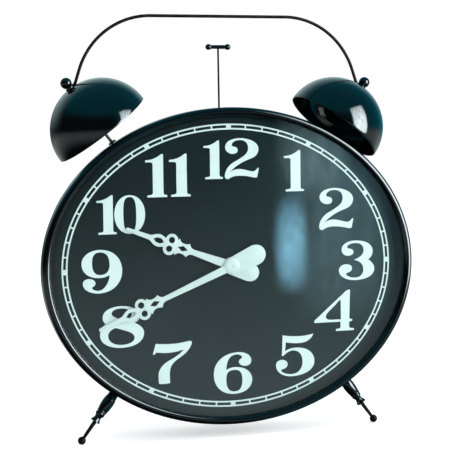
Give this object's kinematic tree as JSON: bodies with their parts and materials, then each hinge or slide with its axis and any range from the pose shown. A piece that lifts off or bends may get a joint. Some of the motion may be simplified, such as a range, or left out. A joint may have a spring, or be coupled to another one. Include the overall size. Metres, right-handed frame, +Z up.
{
  "type": "alarm clock",
  "caption": "Oversize twin-bell alarm clock with an oval case, splayed turned legs, arched wire handle and rocking hammer.",
  "frame": {"origin": "on the ground, below the plane that holds the middles of both bells and the handle, midway between the feet's outer edges", "axes": "+X to the right as one faces the dial, +Y from the dial to the back, +Z up"},
  "size_m": [0.6, 0.16, 0.6566],
  "materials": {
    "gloss_black": "gloss black enamel on steel, faint teal cast",
    "dial_slate": "satin black-slate print on sheet steel",
    "glass": "flat polished clear glass",
    "hand_white": "matt white paint on stamped sheet aluminium",
    "brass": "turned brass",
    "steel": "zinc-plated steel",
    "plastic_black": "moulded black plastic",
    "gear_white": "moulded natural acetal",
    "rubber": "moulded black rubber",
    "board_green": "green solder mask on fibre board",
    "battery_wrap": "plain shrink wrap on a steel can"
  },
  "bodies": {
    "case": {"case_shell": "gloss_black", "bezel_ring": "gloss_black", "glass_lens": "glass", "spacer_ring": "gloss_black", "dial_plate": "dial_slate", "dial_keeper_ring": "steel", "back_cover": "gloss_black", "back_screw_1": "steel", "back_screw_2": "steel", "back_screw_3": "steel", "back_screw_4": "steel", "bell_left": "gloss_black", "bell_right": "gloss_black", "bell_post_left": "gloss_black", "bell_post_right": "gloss_black", "post_collar_left": "gloss_black", "post_collar_right": "gloss_black", "post_nut_left": "steel", "post_nut_right": "steel", "ball_nut_left": "gloss_black", "ball_nut_right": "gloss_black", "carry_handle": "gloss_black", "leg_rod_left": "gloss_black", "leg_rod_right": "gloss_black", "leg_sleeve_left": "gloss_black", "leg_sleeve_right": "gloss_black", "leg_nut_left": "steel", "leg_nut_right": "steel", "rear_leg": "gloss_black", "rear_leg_nut": "steel", "hammer_bracket": "steel", "hammer_pin": "steel", "hammer_leaf_spring": "steel", "movement_housing": "plastic_black", "rubber_washer": "rubber", "centre_bush": "brass", "fixing_nut": "brass", "gear_motor": "steel", "circuit_board": "board_green", "quartz_crystal": "steel", "movement_cover": "plastic_black", "battery_cell": "battery_wrap", "battery_contact_left": "steel", "battery_contact_right": "steel"},
    "minute_works": {"minute_hand": "hand_white", "minute_arbor": "gear_white", "hand_nut": "hand_white"},
    "hour_works": {"hour_hand": "hand_white", "hour_wheel": "gear_white"},
    "setting_works": {"motion_wheel": "gear_white", "set_knob": "plastic_black"},
    "drive": {"drive_pinion": "gear_white"},
    "hammer": {"hammer_rod": "gloss_black", "hammer_head": "gloss_black"},
    "cell_door": {"battery_door": "plastic_black"}
  },
  "joints": [
    {"name": "minute_turn", "type": "hinge", "parent": "case", "child": "minute_works", "pos_m": [0, -0.03, 0.2641], "axis": [0, 1, 0], "continuous": true},
    {"name": "hour_turn", "type": "hinge", "parent": "case", "child": "hour_works", "pos_m": [0, -0.04, 0.2641], "axis": [0, 1, 0], "continuous": true},
    {"name": "setting_turn", "type": "hinge", "parent": "case", "child": "setting_works", "pos_m": [0.018, -0.02, 0.2641], "axis": [0, 1, 0], "continuous": true},
    {"name": "drive_turn", "type": "hinge", "parent": "case", "child": "drive", "pos_m": [-0.01273, -0.025, 0.27683], "axis": [0, 1, 0], "continuous": true},
    {"name": "hammer_rock", "type": "hinge", "parent": "case", "child": "hammer", "pos_m": [0, 0.006, 0.4781], "axis": [0, 1, 0], "range_deg": [-7, 7], "stiffness_Nm_per_rad": 0.15},
    {"name": "cell_door_slide", "type": "slide", "parent": "case", "child": "cell_door", "axis": [0, 0, -1], "range_m": [0, 0.016]}
  ],
  "couplings": [
    {"joint": "hour_turn", "follows": "minute_turn", "ratio": 0.083333},
    {"joint": "setting_turn", "follows": "minute_turn", "ratio": -0.33333},
    {"joint": "drive_turn", "follows": "minute_turn", "ratio": -4}
  ]
}
